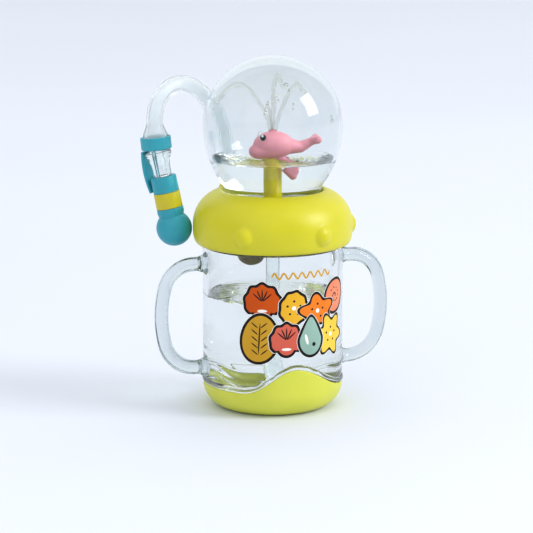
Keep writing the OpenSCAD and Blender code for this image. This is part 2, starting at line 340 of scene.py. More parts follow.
def along_end(tilt, twist=0):
    """Frame at the ring, with its Z down the leaning end."""
    return (Matrix.Rotation(radians(-STRAW_TURN), 4, "Z") @ Matrix.Translation(RING_AT)
            @ Matrix.Rotation(radians(180 - tilt), 4, "Y") @ Matrix.Rotation(radians(twist), 4, "Z"))


def eased(t):
    """Smooth step as t goes from 0 to 1."""
    t = min(max(t, 0), 1)
    return t * t * (3 - 2 * t)


# ------ materials


def linear(r, g, b):
    """Linear colour from sRGB values out of 255."""
    return tuple((c / 255 / 12.92 if c <= 10 else ((c / 255 + 0.055) / 1.055) ** 2.4)
                 for c in (r, g, b)) + (1,)


def new_material(name):
    material = bpy.data.materials.new(name)
    material.use_nodes = True
    nodes, links = material.node_tree.nodes, material.node_tree.links
    return material, nodes, links, nodes["Principled BSDF"]


def set_inputs(node, values):
    for name, value in values.items():
        node.inputs[name].default_value = value


def noise(nodes, links, scale, detail):
    """Noise in the part's own coordinates. scale is in cells per metre."""
    place = nodes.new("ShaderNodeTexCoord")
    texture = nodes.new("ShaderNodeTexNoise")
    set_inputs(texture, {"Scale": scale, "Detail": detail})
    links.new(place.outputs["Object"], texture.inputs["Vector"])
    return texture.outputs["Fac"]


def ranged(nodes, links, value, low_out, high_out, low_in=0.3, high_in=0.7):
    """value rescaled so that low_in gives low_out and high_in gives high_out."""
    step = nodes.new("ShaderNodeMapRange")
    set_inputs(step, {"From Min": low_in, "From Max": high_in, "To Min": low_out, "To Max": high_out})
    links.new(value, step.inputs["Value"])
    return step.outputs["Result"]


def mixed_colour(nodes, links, factor, one, two):
    step = nodes.new("ShaderNodeMix")
    step.data_type = "RGBA"
    links.new(factor, step.inputs["Factor"])
    set_inputs(step, {"A": one, "B": two})
    return step.outputs["Result"]


def mottled(nodes, links, shader, pattern, one, two):
    """Gives the shader a colour that drifts between two sRGB colours."""
    share = ranged(nodes, links, pattern, 0, 1)
    links.new(mixed_colour(nodes, links, share, linear(*one), linear(*two)), shader.inputs["Base Color"])


def textured(nodes, links, shader, pattern, smooth, rough, bump, height):
    """Gives the shader an uneven gloss and a bump, both from one pattern."""
    links.new(ranged(nodes, links, pattern, smooth, rough), shader.inputs["Roughness"])
    step = nodes.new("ShaderNodeBump")
    set_inputs(step, {"Strength": bump, "Distance": height})
    links.new(pattern, step.inputs["Height"])
    links.new(step.outputs["Normal"], shader.inputs["Normal"])


def moulded(name, one, two, roughness, grain=1800, bump=0.08, soft=0, coat=0, shine=0.5):
    """Moulded plastic or silicone: faint flow mottling, a fine grain and an uneven gloss."""
    material, nodes, links, shader = new_material(name)
    mottled(nodes, links, shader, noise(nodes, links, 45, 4), one, two)
    fine = noise(nodes, links, grain, 2)
    textured(nodes, links, shader, fine, roughness - 0.04, roughness + 0.05, bump, 0.0002)
    set_inputs(shader, {
        "Specular IOR Level": shine, "Coat Weight": coat, "Coat Roughness": 0.12,
        "Subsurface Weight": soft, "Subsurface Radius": (1, 0.8, 0.35), "Subsurface Scale": 0.002})
    return material


def see_through(name, tint, shadow, roughness=0, spread=0.02, ior=1.5, wave=120, bump=0.015,
                weight=1, body=None, density=0):
    """Clear and faintly wavy. Shadow rays pass through, so lamps light what is inside. body is the
    colour of long ways through it, which draws its edges."""
    material, nodes, links, shader = new_material(name)
    slow = noise(nodes, links, wave, 2)
    mottled(nodes, links, shader, slow, tint, [min(255, c + 3) for c in tint])
    textured(nodes, links, shader, slow, roughness, roughness + spread, bump, 0.0005)
    set_inputs(shader, {
        "IOR": ior, "Specular Tint": (0.45, 0.45, 0.45, 1), "Transmission Weight": weight})
    passing = nodes.new("ShaderNodeBsdfTransparent")
    set_inputs(passing, {"Color": linear(*shadow)})
    path = nodes.new("ShaderNodeLightPath")
    mix = nodes.new("ShaderNodeMixShader")
    links.new(path.outputs["Is Shadow Ray"], mix.inputs["Fac"])
    links.new(shader.outputs["BSDF"], mix.inputs[1])
    links.new(passing.outputs["BSDF"], mix.inputs[2])
    links.new(mix.outputs["Shader"], nodes["Material Output"].inputs["Surface"])
    if density:
        inside = nodes.new("ShaderNodeVolumeAbsorption")
        set_inputs(inside, {"Color": linear(*body), "Density": density})
        links.new(inside.outputs["Volume"], nodes["Material Output"].inputs["Volume"])
    return material


def ink(name):
    """Screen-printed ink: nearly flat colour with a faint roller texture."""
    return moulded("ink_" + name, *INKS[name], 0.5, grain=3000, bump=0.03, shine=0.15)


def make_materials():
    """Every material but the inks, by the name of its slot."""
    made = [
        see_through("clear_copolyester", (250, 252, 252), (232, 234, 234),
                    body=(194, 197, 190), density=40),
        see_through("clear_handle", (252, 254, 254), (238, 241, 242), body=(132, 168, 172), density=54),
        see_through("clear_dome", (246, 248, 248), (226, 230, 232), body=(134, 182, 186), density=24),
        see_through("clear_fitting", (248, 251, 251), (240, 243, 243), 0.03, 0.03,
                    body=(165, 200, 206), density=30),
        see_through("clear_silicone", (239, 242, 243), (238, 242, 243), 0.2, 0.06, 1.3, 200, 0.01, 0.86),
        see_through("spray", (233, 234, 229), (250, 252, 252), 0, 0, 1.5, 700, 0.4),
        see_through("water", (253, 254, 254), (253, 254, 254), 0, 0, 1.333, 60, 0.01),
        moulded("white_silicone", (236, 236, 230), (226, 227, 222), 0.5, soft=0.3),
        moulded("lime_silicone", (212, 214, 70), (203, 207, 62), 0.42, soft=0.25),
        moulded("lime_plastic", (208, 200, 8), (200, 193, 6), 0.4, soft=0.1),
        moulded("lime_gloss", (224, 206, 2), (214, 197, 2), 0.3, coat=0.15),
        moulded("pink_plastic", (231, 150, 163), (222, 140, 154), 0.45, soft=0.3),
        moulded("eye_plastic", (6, 6, 7), (3, 3, 4), 0.3, bump=0.01, shine=0.15),
        # White of the eyes, and also of the painted glints that stand in for highlights.
        moulded("eye_white", (240, 240, 240), (228, 228, 230), 0.12, bump=0.01, coat=0.5),
        # Dark olive: the lid's yellow-green plastic with painted shade, for the vent that sits in shadow
        # under the lid.
        moulded("olive_plastic", (116, 104, 52), (104, 92, 44), 0.45),
        moulded("teal_silicone", (40, 157, 173), (30, 147, 164), 0.45, soft=0.1),
        moulded("yellow_silicone", (206, 190, 20), (197, 181, 16), 0.42, soft=0.1),
    ]
    return {material.name.split(".")[0]: material for material in made}


# ------ cup


def boot_edge(angle):
    """Height of the boot's upper edge: level, with a wave at the front."""
    x, y = CUP_R * cos(angle), CUP_R * sin(angle)
    width = WAVE_W if x < 0 else WAVE_RIGHT_W
    if y > 0 or abs(x) > width:
        return BOOT_LEVEL
    return BOOT_LEVEL + (BOOT_TOP - BOOT_LEVEL) * (1 + cos(pi * x / width)) / 2


def spaced(z0, z1, steps):
    """Even steps up to z1, without z0."""
    return [z0 + (z1 - z0) * i / steps for i in range(1, steps + 1)]


def hollow_corner(angle, r, overlap):
    """The hollow's lower corner, from its floor up its wall, a little uneven like thick glass."""
    ease = HOLLOW_ROUND + 1.5 + 1.1 * sin(3 * angle + 0.7)
    ease += 0.7 * sin(7 * angle + 2) + 0.4 * sin(13 * angle)
    points = arc(r - HOLLOW_ROUND, FLOOR_Z + ease, HOLLOW_ROUND, ease, -90, 0, 20)
    points = [(x, z - overlap * (FLOOR_Z + ease - z) / ease) for x, z in points]
    points += [(r, z) for z in spaced(FLOOR_Z + ease, UNEVEN_Z, 30)]
    shift = 2.2 * sin(3 * angle + 1) + 1.2 * sin(7 * angle)

    def swell(x, z):
        share = eased((UNEVEN_Z - z) / 9) * eased((x - r + HOLLOW_ROUND) / HOLLOW_ROUND)
        return 0.55 * sin(2 * pi * z / 6 + shift) * share

    return [(x + swell(x, z), z) for x, z in points]


def cup_outline(angle):
    edge = boot_edge(angle)
    inner, neck_in, lip = CUP_R - WALL, NECK_R - WALL, 0.6
    outside = [(0, PLUG_Z)]
    outside += arc(PLUG_R - PLUG_ROUND, PLUG_Z + PLUG_ROUND, PLUG_ROUND, PLUG_ROUND, -90, 0, 10)[:-1]
    outside += [(PLUG_R, PLUG_SIDE_Z)] + [(PLUG_R, z) for z in spaced(PLUG_SIDE_Z, edge + 0.05, 4)]
    # A rounded bead just above the boot
    outside += arc(CUP_R - 0.55, edge + WAVE_BEVEL / 2, 1.1, WAVE_BEVEL / 2 - 0.1, -85, 75, 14)
    outside += [(CUP_R, z) for z in spaced(edge + WAVE_BEVEL + 0.3, SHOULDER_Z - lip, 24)]
    outside += arc(CUP_R - lip, SHOULDER_Z - lip, lip, lip, 15, 90, 4)
    outside += [(NECK_R + lip, SHOULDER_Z), (NECK_R, SHOULDER_Z + lip), (NECK_R, MOUTH_Z - lip),
                (NECK_R - lip, MOUTH_Z), (neck_in + lip, MOUTH_Z), (neck_in, MOUTH_Z - lip)]
    inside = [(neck_in, SHOULDER_Z + 1.4), (neck_in + 0.4, SHOULDER_Z + 0.4),
              (inner - 0.4, SHOULDER_Z - 1.3), (inner, SHOULDER_Z - 1.7)]
    inside += [(inner, z) for z in spaced(SHOULDER_Z - 1.7, UNEVEN_Z + 2, 10)]
    return outside + inside + hollow_corner(angle, inner, 0)[::-1] + [(0, FLOOR_Z)]


def thread_rib(turn, z):
    """One of the short helical ribs on the cup's neck."""
    steps, span, r = 24, 60, NECK_R + 0.35
    route = []
    for i in range(steps + 1):
        share = i / steps - 0.5
        a = radians(turn + share * span)
        route.append((r * cos(a), r * sin(a), z + share * THREAD_LEAD * span / 360))
    return sweep("rib", route, lambda t: 1.25 * sqrt(max(0.1, 1 - (2 * t - 1) ** 8)), 16)


def make_cup():
    body = revolve("body", cup_outline, 256, sharp=28)
    return merged("cup_glass", [body] + [thread_rib(90 * k, 96) for k in range(4)], 28)


def boot_outline(angle):
    edge, flat = boot_edge(angle), CUP_R - BOOT_ROUND
    outside = [(0, 0.5), (flat - 8, 0.5), (flat - 6.5, 0)]
    outside += arc(flat, BOOT_ROUND, BOOT_ROUND, BOOT_ROUND, -90, -2, 18)
    outside += [(CUP_R, z) for z in spaced(BOOT_ROUND - 0.3, edge - 0.55, 8)]
    outside += [(CUP_R - 0.1, edge - 0.2), (CUP_R - 0.4, edge), (CUP_R - 0.9, edge),
                (PLUG_R + 0.12, edge - 0.1)]
    inside = [(PLUG_R + 0.1, z) for z in spaced(edge - 0.1, PLUG_SIDE_Z, 4)]
    inside += arc(PLUG_R - PLUG_ROUND, PLUG_Z + PLUG_ROUND, PLUG_ROUND + 0.1, PLUG_ROUND + 0.1,
                  -4, -90, 10)
    return outside + inside + [(0, PLUG_Z - 0.1)]


def make_boot():
    return revolve("boot_shell", boot_outline, 256, sharp=50)


def handle_route():
    """The handle's centre line in the XZ plane, from its upper to its lower root."""
    top_z = 79.3
    # Radius, first angle and last angle of each bend
    bends = [(16.3, 90, 15), (60, 15, -15), (17.5, -15, -90)]
    before = bends[0][0]
    centre = Vector((44.5, top_z - before))
    points = [(CUP_R + s, top_z) for s in (0.05, 2.5, 5)]
    for radius, start, end in bends:
        a = radians(start)
        centre = centre - Vector((cos(a), sin(a))) * (radius - before)
        points += arc(centre.x, centre.y, radius, radius, start, end, 16)
        before = radius
    points += [(CUP_R + s, points[-1][1]) for s in (4, 2, 0.05)]
    return [Vector((x, 0, z)) for x, z in points]


def make_handle(name, side):
    """A bar that flares into a pad at each root."""
    route = handle_route()
    lengths = list(accumulate([(b - a).length for a, b in zip(route, route[1:])], initial=0))
    total = lengths[-1]
    # Even steps, finer at the roots where the bar flares
    root = [0, 0.3, 0.6, 0.9, 1.3, 1.8, 2.4, 3, 3.6, 4.4, 5.4, 6.5]
    between = total - 2 * root[-1]
    stations = root + [root[-1] + between * i / 70 for i in range(1, 70)]
    stations += [total - s for s in reversed(root)]

    def at(s):
        i = max(k for k in range(len(lengths) - 1) if lengths[k] <= s + 1e-9)
        share = (s - lengths[i]) / (lengths[i + 1] - lengths[i])
        return route[i].lerp(route[i + 1], min(1, share))

    def radius(t):
        s = stations[round(t * (len(stations) - 1))]
        s = min(s, total - s)
        return HANDLE_R + 1.15 * exp(-s ** 2) + 0.95 * exp(-(s / 3.4) ** 4)

    bar = sweep(name, [at(s) for s in stations], radius, 64, sharp=60, power=3.2)
    # Root faces follow the cup's wall instead of ending in a tip
    for v in bar.data.vertices:
        x, y = v.co.x / MM, v.co.y / MM
        wall = sqrt(max(0, (CUP_R + 0.03) ** 2 - y * y))
        if x < wall + 0.02 or x < CUP_R + 0.02:
            v.co.x = wall * MM
    if side < 0:
        bar.data.transform(Matrix.Rotation(pi, 4, "Z"))
    return bar


# ------ lid


def squarish(cx, cz, rx, rz, steps, power):
    """Lower right quarter of a squared ellipse, from its foot to its side."""
    angles = [radians(-90 + 90 * i / steps) for i in range(steps + 1)]
    share = 2 / power
    return [(cx + rx * max(0, cos(a)) ** share, cz - rz * max(0, -sin(a)) ** share) for a in angles]


def collar_outline():
    foot_r, crown_r = 38.4, 24
    core_r, ledge_r, ledge_z = 38.1, 36.6, 107.2
    outside = squarish(foot_r, COLLAR_WIDE_Z, COLLAR_R - foot_r, COLLAR_WIDE_Z - COLLAR_LOW, 26, 3.2)[1:]
    last = degrees(acos((WELL_R + 1.1 - crown_r) / (COLLAR_R - crown_r)))
    outside += arc(crown_r, COLLAR_WIDE_Z, COLLAR_R - crown_r, COLLAR_TOP - COLLAR_WIDE_Z, 2.5, last, 40)
    rim_z = outside[-1][1]
    return outside + [
        (WELL_R + 0.5, rim_z - 0.08), (WELL_R + 0.12, rim_z - 0.4), (WELL_R, rim_z - 0.9),
        (WELL_R, 112), (WELL_R, DECK_Z + 0.1), (ledge_r, DECK_Z + 0.1), (ledge_r, ledge_z),
        (core_r, ledge_z), (core_r, 100), (core_r, COLLAR_LOW + 0.9), (core_r - 0.2, COLLAR_LOW + 0.3),
        (core_r + 0.2, COLLAR_LOW)]


def raise_studs(piece):
    """Rounded studs that swell out of the collar's wide band."""
    sink, blend, span = STUD_R - STUD_PROUD, 0.55, 8
    for v in piece.data.vertices:
        x, y, z = (c / MM for c in v.co)
        r, turn = sqrt(x * x + y * y), atan2(y, x)
        if r < COLLAR_R - 3.6 or abs(z - STUD_Z) > span:
            continue
        for angle in STUD_ANGLES:
            off = (turn - radians(angle) + pi) % (2 * pi) - pi
            far = sqrt((COLLAR_R * off) ** 2 + (z - STUD_Z) ** 2)
            if far > span:
                continue
            cap = (sqrt(STUD_R ** 2 - far ** 2) if far < STUD_R else STUD_R - far) - sink
            gain = 0.5 * (cap + sqrt(cap * cap + blend * blend))
            gain -= 0.5 * (sqrt(span * span + blend * blend) - span)
            push = COLLAR_R + gain - r if gain > 0.05 else 0
            share = eased((cap + 0.6) / 0.9)
            lift = gain * (1 - share) + max(gain, push) * share
            v.co.x += lift * cos(turn) * MM
            v.co.y += lift * sin(turn) * MM


def make_collar():
    """The collar with its studs, and the bored boss for the straw."""
    collar = revolve("collar_shell", collar_outline(), 480, sharp=35)
    raise_studs(collar)
    socket = Matrix.Translation(in_view(*SOCKET_AT, 0))
    foot_z, rim_z, bore_r = 109.7, 115.7, 4.6
    boss = rounded([(0, foot_z, 0), (6.9, foot_z, 0), (6.6, rim_z, 1.6), (0, rim_z, 0)], 6)
    cut(collar, placed(revolve("boss", boss, 96), socket), "UNION")
    bore = [(0, foot_z - 0.7), (bore_r, foot_z - 0.7), (bore_r, rim_z + 2.3), (0, rim_z + 2.3)]
    return cut(collar, placed(revolve("bore", bore, 64), socket))


def make_post():
    """The fountain's post, with its foot and an eased top under the whale."""
    way_r = 1.7
    return revolve("post_shell", rounded([
        (way_r, DECK_Z, 0), (8, DECK_Z, 0), (7.1, DECK_Z + 1.8, 0.5), (4.4, DECK_Z + 2, 1),
        (POST_R, DECK_Z + 4, 2), (POST_R, POST_TOP, 0.3), (way_r, POST_TOP, 0.2)], 5), 96)


def hull_of(balls):
    """Convex hull of ellipsoids, each (centre, size)."""
    bm = bmesh.new()
    for centre, size in balls:
        made = bmesh.ops.create_uvsphere(bm, u_segments=32, v_segments=20, radius=1)
        move = Matrix.Translation(Vector(centre)) @ Matrix.Diagonal((*size, 1))
        bmesh.ops.transform(bm, matrix=move, verts=made["verts"])
    if len(balls) > 1:
        found = bmesh.ops.convex_hull(bm, input=bm.verts)
        spare = found["geom_interior"] + found["geom_unused"]
        loose = {g for g in spare if isinstance(g, bmesh.types.BMVert)}
        bmesh.ops.delete(bm, geom=list(loose), context="VERTS")
    mesh = bpy.data.meshes.new("hull")
    bm.transform(Matrix.Scale(MM, 4))
    bm.to_mesh(mesh)
    bm.free()
    return added("hull", mesh)


def fused(name, shapes, voxel, smoothing):
    """One skin over overlapping shapes, its joins smoothed."""
    skin = merged(name, shapes, 0)
    step = skin.modifiers.new("skin", "REMESH")
    step.mode = "VOXEL"
    step.voxel_size = voxel * MM
    step.use_smooth_shade = True
    ease = skin.modifiers.new("ease", "SMOOTH")
    ease.factor = 0.5
    ease.iterations = smoothing
    return applied(skin)


def make_whale():
    """A small whale: rounded head, narrow tail with two flukes, and a flipper on each side."""
    stem, tail = ((14.5, 0, 139.4), (3.4, 3.4, 3)), (20.8, 0, 142.4)
    shapes = [
        hull_of([((0.5, 0, 140.8), (11, 8.2, 7.4))]),
        hull_of([((-7.6, 0, 137.6), (5.2, 6.2, 4.1)), ((-1, 0, 139), (7, 7.6, 5.6))]),
        hull_of([((7.5, 0, 140.3), (4, 5.2, 4.6)), stem]),
        hull_of([stem, (tail, (2.2, 2.6, 2.1))]),
    ]
    for side in (-1, 1):
        shapes.append(hull_of([(tail, (2.2, 2.4, 2)), ((23.7, side * 4.4, 143.7), (2.1, 1.5, 2.1))]))
        shapes.append(hull_of([
            ((3.5, side * 3, 134.8), (2.4, 1.2, 1)), ((9.4, side * 5.4, 131.5), (1, 0.8, 0.8)),
            ((8.2, side * 6.1, 128.4), (1, 0.8, 1))]))
    skin = fused("whale_skin", shapes, 0.4, 8)
    skin.data.transform(Matrix.Rotation(radians(WHALE_TURN), 4, "Z"))
    return skin


def ball(name, centre, r):
    piece = revolve(name, [(0, -r)] + arc(0, 0, r, r, -85, 85, 20) + [(0, r)], 40)
    return placed(piece, Matrix.Translation(centre))


def make_eyes():
    """Six equal balls in the head: whites and painted glints first, then the two pupils."""
    whites, pupils = [], []
    for side in (-1, 1):
        place = Vector((-6, side * 4.2, 145.3))
        whites.append(ball("white", place, 1.85))
        pupils.append(ball("pupil", place + Vector((0.1, side * 0.95, 0.25)), 1.65))
        # Painted glint: a small white ball that stands in for the lamp's highlight on the eye.
        whites.append(ball("painted_glint", place + Vector((-0.4, side * 2.25, 1.15)), 0.6))
    eyes = merged("whale_eye_balls", whites + pupils, 0)
    eyes.data.transform(Matrix.Rotation(radians(WHALE_TURN), 4, "Z"))
    return eyes


def paint_pupils(eyes, material):
    """Gives material to the pupils, the last third of the eyes' faces."""
    eyes.data.materials.append(material)
    faces = list(eyes.data.polygons)
    for face in faces[len(faces) * 2 // 3:]:
        face.material_index = 1


def make_vent():
    """A bulb, open below, with a neck that goes up into the lid."""
    z, r, in_r, neck_r, way_r = 86.2, 8.6, 7.1, 4.6, 3.2
    outline = arc(0, z, r, r, -78, 50, 30)
    outline += [(neck_r + 0.3, 93), (neck_r, 94), (neck_r, TUBE_TOP), (way_r, TUBE_TOP), (way_r, 93)]
    outline += arc(0, z, in_r, in_r, 60, -76, 24)
    return placed(revolve("vent_bulb", outline, 96, sharp=50), Matrix.Translation((-13, -3, 0)))


def make_dip_tube():
    return revolve("dip_pipe", rounded([
        (TUBE_BORE_R, TUBE_LOW, 0.2), (TUBE_R, TUBE_LOW, 0.2), (TUBE_R, TUBE_TOP, 0.1),
        (TUBE_BORE_R, TUBE_TOP, 0.1)], 3), 96)


# ------ dome and water


def dome_inner(z):
    """Radius of the dome's inner face at a height."""
    if z > DOME_Z:
        return sqrt(max(0, DOME_IN_R ** 2 - (z - DOME_Z) ** 2))
    return max(DOME_NECK_IN_R, DOME_IN_R * sqrt(max(0, 1 - ((DOME_Z - z) / DOME_IN_DROP) ** 2)))


def dome_outline():
    """Up the outside from the neck to the top, and down the inside."""
    outside = [(DOME_NECK_R - 0.9, DOME_LOW), (DOME_NECK_R - 0.3, DOME_LOW + 0.15),
               (DOME_NECK_R, DOME_LOW + 0.5)]
    start = degrees(acos(DOME_NECK_R / DOME_R))
    outside += arc(0, DOME_Z, DOME_R, DOME_DROP, -start, 0, 40)
    outside += arc(0, DOME_Z, DOME_R, DOME_R, 2, 89, 50) + [(0, DOME_Z + DOME_R)]
    last = degrees(acos(DOME_NECK_IN_R / DOME_IN_R))
    inside = [(0, DOME_Z + DOME_IN_R)] + arc(0, DOME_Z, DOME_IN_R, DOME_IN_R, 89, 2, 50)
    inside += arc(0, DOME_Z, DOME_IN_R, DOME_IN_DROP, 0, -last, 40)
    return outside + inside + [(DOME_NECK_IN_R, DOME_LOW + 0.4)]


def make_dome():
    return revolve("dome_glass", dome_outline(), 240, sharp=40)


def wave_surface(piece, level, sources, edge_r):
    """A meniscus where the water's top face meets the wall, and small waves that spread from
    (x, y, size, wavelength, fading length) sources."""
    for v in piece.data.vertices:
        if abs(v.co.z / MM - level) < 0.01:
            x, y = v.co.x / MM, v.co.y / MM
            lift = 0.9 * exp(-(edge_r - sqrt(x * x + y * y)) / 0.8)
            for sx, sy, size, wavelength, fade in sources:
                far = sqrt((x - sx) ** 2 + (y - sy) ** 2)
                lift += size * cos(2 * pi * far / wavelength) * exp(-far / fade)
            v.co.z += lift * MM


def top_rows(edge_r, level, rows, inner_r=0):
    """Points across a water surface, closer together at the wall."""
    return [(edge_r - (edge_r - inner_r) * (i / rows) ** 0.85, level) for i in range(rows)]


def make_cup_water():
    """The drink round the dip tube, and the column of it in the tube."""
    r, hole_r, core_r = CUP_R - WALL + OVERLAP, TUBE_R - OVERLAP, TUBE_BORE_R + OVERLAP
    under = TUBE_LOW + 0.1
    upper = [(r, z) for z in spaced(UNEVEN_Z + 2, WATER_Z - 0.3, 10)]
    upper += top_rows(r, WATER_Z, 40, hole_r)
    upper += [(hole_r, WATER_Z), (hole_r, WATER_Z - 1), (hole_r, under), (0, under)]
    bulk = revolve("bulk", lambda angle: (
        [(0, FLOOR_Z - OVERLAP)] + hollow_corner(angle, r, OVERLAP) + upper), 256, 50)
    waves = [(-26, -14, 0.5, 6, 9), (-30, 4, 0.4, 4, 8), (-12, 18, 0.3, 5, 12), (24, 20, 0.35, 5, 9)]
    wave_surface(bulk, WATER_Z, waves, r)
    core = revolve("core", [(0, TUBE_LOW), (core_r, TUBE_LOW), (core_r, WATER_Z), (0, WATER_Z)], 48)
    return merged("water_cup", [bulk, core], 50)


def make_pool():
    """The pool in the dome, up to the whale's belly."""
    levels = [110.2, 112, 114, 116, 118, 119.5] + spaced(120.3, POOL_Z - 0.3, 14)
    edge_r = dome_inner(POOL_Z) + OVERLAP
    outline = [(0, DECK_Z + 0.15), (DOME_NECK_R - 2.2, DECK_Z + 0.15)]
    outline += [(dome_inner(z) + OVERLAP, z) for z in levels]
    outline += top_rows(edge_r, POOL_Z, 44) + [(0, POOL_Z)]
    pool = revolve("water_pool", outline, 192, sharp=50)
    left, right = in_view(-30, 0, 0), in_view(30, -4, 0)
    waves = [(left.x, left.y, 0.9, 4.2, 10), (right.x, right.y, 0.7, 3.4, 10),
             (3, -6, 0.8, 4.2, 12), (-9, 3, 0.5, 3.4, 10)]
    wave_surface(pool, POOL_Z, waves, edge_r)
    return pool


# Each jet has points as in_view takes them, and a radius
JETS = [
    # Left arc, down to the dome's wall
    ([(-1.2, 0, 148.4), (-2.6, 0, 154), (-4.8, 0, 159.4), (-8.9, 0, 166.2), (-12.6, 0, 170.6),
      (-16.5, 0, 173), (-21, 0, 172.4), (-25.5, 0, 169), (-29.5, 0, 164)], 1.25),
    # Middle spout, which curls over to the right
    ([(0, 0, 148.4), (-0.1, 0, 156), (0, 0, 164), (0.4, 0, 171), (1.6, 0, 177), (3, 0, 177.4),
      (4.4, 0, 174), (5.7, 0, 171.8), (6.9, 0, 172.6)], 1.2),
    # Right arc
    ([(1.2, 0, 148.4), (2.6, 0, 154), (4.9, 0, 160.4), (7.7, 0, 167.2), (10.3, 0, 171.4),
      (12.8, 0, 172.9), (15, 0, 171.6), (16.4, 0, 169.4)], 1.25),
    # Two fine arcs towards the back and the front
    ([(0.2, 0.8, 148.4), (0.8, 3, 156), (1.5, 7, 163), (2, 12, 166.5), (2.4, 17, 165)], 0.8),
    ([(-0.4, -0.8, 148.4), (-1, -3, 155), (-2, -7, 161), (-3, -12, 163.5), (-3.6, -16, 161.5)], 0.8),
]
# A drop's point and radius
DROPS = [(-2.5, -2, 163, 0.9), (-3.2, -2, 161.4, 0.6), (10.8, -1, 162, 0.8), (10.6, -1, 159.8, 0.6),
         (31.3, 4, 155, 0.8), (31.7, 4, 152.8, 1), (-31.5, 3, 158.4, 1), (18.5, 0, 166, 0.7),
         (8.6, 0, 169.6, 0.7), (3, 17.5, 162, 0.8), (-4.2, -17, 158.6, 0.8)]


def make_spray():
    """The fountain's arcs and the drops that break away from them."""
    parts = []
    for points, thick in JETS:
        route = smooth_curve([in_view(*p) for p in points], 8)
        parts.append(sweep("jet", route, lambda t: thick * (
            0.72 + 0.35 * t + 0.1 * sin(21 * t) + 0.06 * sin(47 * t + 1)), 20, sharp=0))
    for u, w, z, size in DROPS:
        outline = [(0, -size)] + arc(0, 0, size, size, -80, 30, 10)
        outline += [(size * 0.45, size * 1.1), (0, size * 1.9)]
        drop = revolve("drop", outline, 20, sharp=0)
        parts.append(placed(drop, Matrix.Translation(in_view(u, w, z))))
    return merged("water_spray", parts, 0)


# ------ straw and cap

STRAW_ROUTE = [
    (-22.5, 27.5, 111), (-22.5, 27.5, 114.5), (-22.5, 27.5, 118.5), (-24, 29.5, 128),
    (-27, 31.5, 140), (-30, 31.5, 151), (-35, 27, 162), (-42, 20, 170), (-50, 12, 173), (-57, 4.5, 170),
    (-61.5, 0.5, 162.5), (-62.5, 0, 156), (-62.4, 0, 150), (-62, 0, 144.5), (-61.5, 0, 138.5),
]


def make_straw():
    """A bent silicone tube whose drinking end opens out over the mouthpiece."""
    route = smooth_curve([in_view(*p) for p in STRAW_ROUTE], 14, 110)
    last, flare_z = len(route) - 1, 153

    def opening(t):
        p = route[round(t * last)]
        return eased((flare_z - p.z) / 9) if p.x < -50 else 0

    return sweep("straw_hose", route, lambda t: 4.4 + 2.6 * opening(t), 80,
                 lambda t: 2.7 + 2.3 * opening(t), sharp=60)


def make_mouthpiece():
    """The clear spout: a funnel inside the ring that narrows to the part that the child sips."""
    outline = rounded([
        (2.3, -2.5, 0.2), (4.3, -2.5, 0.6), (4.3, 4.4, 0.2), (7.2, 4.4, 0.5), (7.2, 5.4, 0.6),
        (6.1, 8, 4), (5.2, 11, 5), (4.8, 14.5, 4), (4.8, 17, 0.6), (4, 17.5, 0.3), (4, 26.3, 1.4),
        (3.2, 27.5, 0.5), (2.3, 27.5, 0.3)], 5)
    funnel = revolve("mouthpiece_spout", outline, 96, sharp=50)
    return placed(funnel, along_end(CAP_TILT))


def make_ring():
    outline = rounded([(7.1, -3.8, 0.3), (8.15, -3.8, 0.45), (8.15, 2.8, 0.45), (7.1, 2.8, 0.3)], 5)
    return placed(revolve("ring_cuff", outline, 96), along_end(RING_TILT))


def make_cap():
    """Sleeve, waist under the band, and ball, with a bore that the mouthpiece fills."""
    ball_z, ball_r = 46.3, 9.55
    start = degrees(atan2(36.6 - ball_z, 7.1))
    outline = rounded([
        (4.3, 17.8, 0.3), (6.85, 17.8, 0.6), (6.95, 26.2, 0.15), (6.25, 26.4, 0.1), (6.25, 34.8, 0.1),
        (7.05, 35, 0.2), (7.2, 37.4, 0)], 4)
    outline += arc(0, ball_z, ball_r, ball_r, start + 8, 88, 36) + [(0, ball_z + ball_r)]
    outline += [(0, 29.8), (3.6, 29.8), (4.3, 29.1)]
    return placed(revolve("cap_shell", outline, 128, sharp=45), along_end(CAP_TILT))


def make_band():
    outline = rounded([(6.3, 26.4, 0.1), (7.0, 26.4, 0.25), (7.08, 34.8, 0.25), (6.3, 34.8, 0.1)], 4)
    return placed(revolve("band_ring", outline, 96), along_end(CAP_TILT))


def make_strap():
    """A flat strap that bows out from the ring down to the cap."""
    bend, span, middle, bulge, wide, thick = 44, 14.75, 14.6, 9.2, 8, 1.4
    steps, corner = 48, 0.45
    section = rounded([(-thick / 2, -wide / 2, corner), (thick / 2, -wide / 2, corner),
                       (thick / 2, wide / 2, corner), (-thick / 2, wide / 2, corner)], 4)
    verts, faces = [], []
    for i in range(steps + 1):
        a = radians(span * (2 * i / steps - 1))
        for across, y in section:
            r = bend + across
            verts.append((bulge - bend + r * cos(a), y, middle + r * sin(a)))
    count = len(section)
    rings = [[i * count + k for k in range(count)] for i in range(steps + 1)]
    for one, two in zip(rings, rings[1:]):
        faces += band(one, two)
    faces += [rings[0], rings[-1][::-1]]
    return placed(mesh_piece("strap_band", verts, faces, 50), along_end(CAP_TILT, 35))


# ------ print


def on_wall(s, z, lift):
    """Point on the cup's outer wall, s millimetres round from its front."""
    a, r = s / CUP_R, CUP_R + lift
    return (r * sin(a), -r * cos(a), z)


